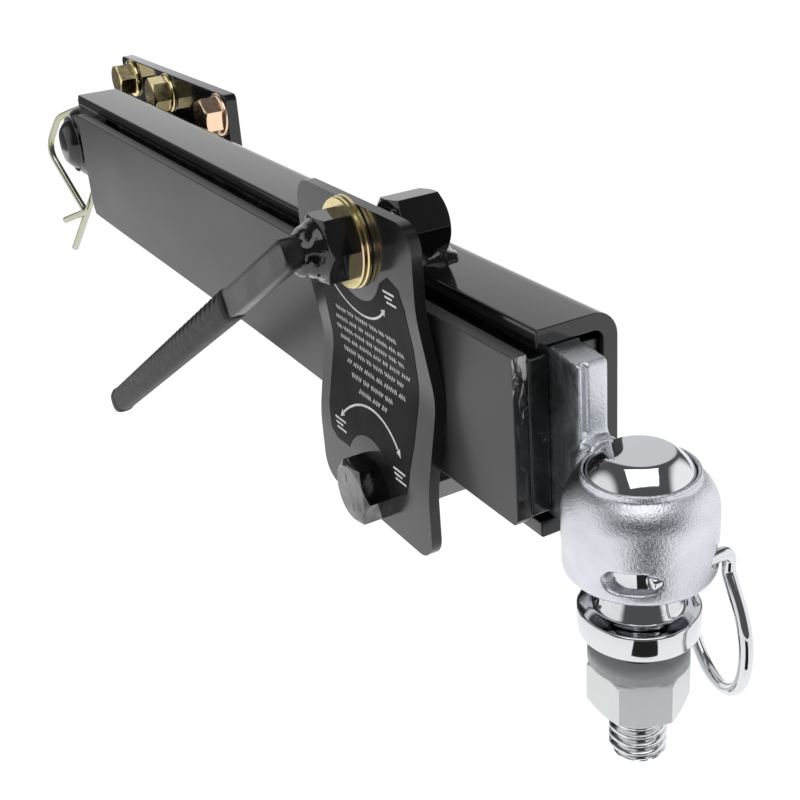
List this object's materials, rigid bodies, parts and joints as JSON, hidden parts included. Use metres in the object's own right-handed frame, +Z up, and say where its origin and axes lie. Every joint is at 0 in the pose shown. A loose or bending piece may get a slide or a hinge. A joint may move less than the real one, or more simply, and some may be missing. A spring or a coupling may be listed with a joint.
{
  "type": "trailer sway control bar",
  "caption": "Friction sway-control bar: a clamped flat bar sliding in a channel, with a hitch ball and socket at one end and a bracketed ball socket at the other.",
  "frame": {"origin": "on the hitch ball's stud axis, where the ball's flange seats on the hitch tab", "axes": "+X along the bar from the trailer end towards the hitch ball, +Y from the handle's side to the back of the channel, +Z up along the ball's stud"},
  "size_m": [0.5405, 0.0969, 0.149],
  "materials": {
    "chromed_steel": "polished chrome plate",
    "grey_spring_steel": "matte phosphate grey",
    "bright_zinc": "bright zinc plate",
    "zinc_casting": "rough zinc-plated casting",
    "zinc_bar": "dull zinc plate",
    "clip_wire": "bright plated spring wire",
    "gloss_black": "gloss black paint",
    "plate_black": "semi-gloss black paint",
    "friction_lining": "pressed friction lining",
    "yellow_wire": "yellow zinc-plated spring wire",
    "label_film": null,
    "yellow_zinc": "yellow zinc plate",
    "lever_steel": "satin black paint",
    "grip_vinyl": "dipped ribbed vinyl",
    "dark_chrome": "dark bright plate"
  },
  "bodies": {
    "hitch": {"hitch_ball": "chromed_steel", "hitch_lock_washer": "grey_spring_steel", "hitch_nut": "bright_zinc"},
    "bar": {"slide_bar": "zinc_bar", "hitch_socket": "zinc_casting"},
    "hitch_clip": {"hitch_clip": "clip_wire"},
    "housing": {"housing_channel": "gloss_black", "rear_friction_pad": "friction_lining", "upper_clamp_nut": "gloss_black", "lower_clamp_nut": "gloss_black", "trailer_socket": "gloss_black", "trailer_clip": "yellow_wire"},
    "clamp": {"pressure_plate": "plate_black", "front_friction_pad": "friction_lining", "yoke_plate": "gloss_black", "instruction_label": "label_film"},
    "handle": {"handle_bolt": "gloss_black", "handle_washers": "yellow_zinc", "handle_lever": "lever_steel", "handle_grip": "grip_vinyl"},
    "adjusting_bolt": {"adjusting_bolt": "dark_chrome"},
    "bracket": {"bracket_plate": "plate_black", "trailer_ball": "gloss_black", "bracket_screws": "yellow_zinc"}
  },
  "joints": [
    {"name": "hitch_swivel", "type": "hinge", "parent": "hitch", "child": "bar", "pos_m": [0, 0, 0.0395], "axis": [0, 0, 1], "range_deg": [-35, 35]},
    {"name": "clip_pull", "type": "slide", "parent": "bar", "child": "hitch_clip", "axis": [0, 1, 0], "range_m": [0, 0.035]},
    {"name": "bar_slide", "type": "slide", "parent": "bar", "child": "housing", "axis": [-1, 0, 0], "range_m": [0, 0.2]},
    {"name": "clamp_press", "type": "slide", "parent": "housing", "child": "clamp", "axis": [0, 1, 0], "range_m": [-0.002, 0]},
    {"name": "handle_turn", "type": "hinge", "parent": "clamp", "child": "handle", "pos_m": [-0.1015, 0, 0.0869], "axis": [0, 1, 0], "range_deg": [-300, 0]},
    {"name": "adjuster_turn", "type": "hinge", "parent": "clamp", "child": "adjusting_bolt", "pos_m": [-0.1015, 0, 0.0053], "axis": [0, 1, 0], "range_deg": [-180, 180]},
    {"name": "trailer_swivel", "type": "hinge", "parent": "housing", "child": "bracket", "pos_m": [-0.468, 0, 0.0461], "axis": [0, 0, 1], "range_deg": [-5, 12]}
  ],
  "couplings": [
    {"joint": "clamp_press", "follows": "handle_turn", "m_per_rad": 0.000311}
  ]
}
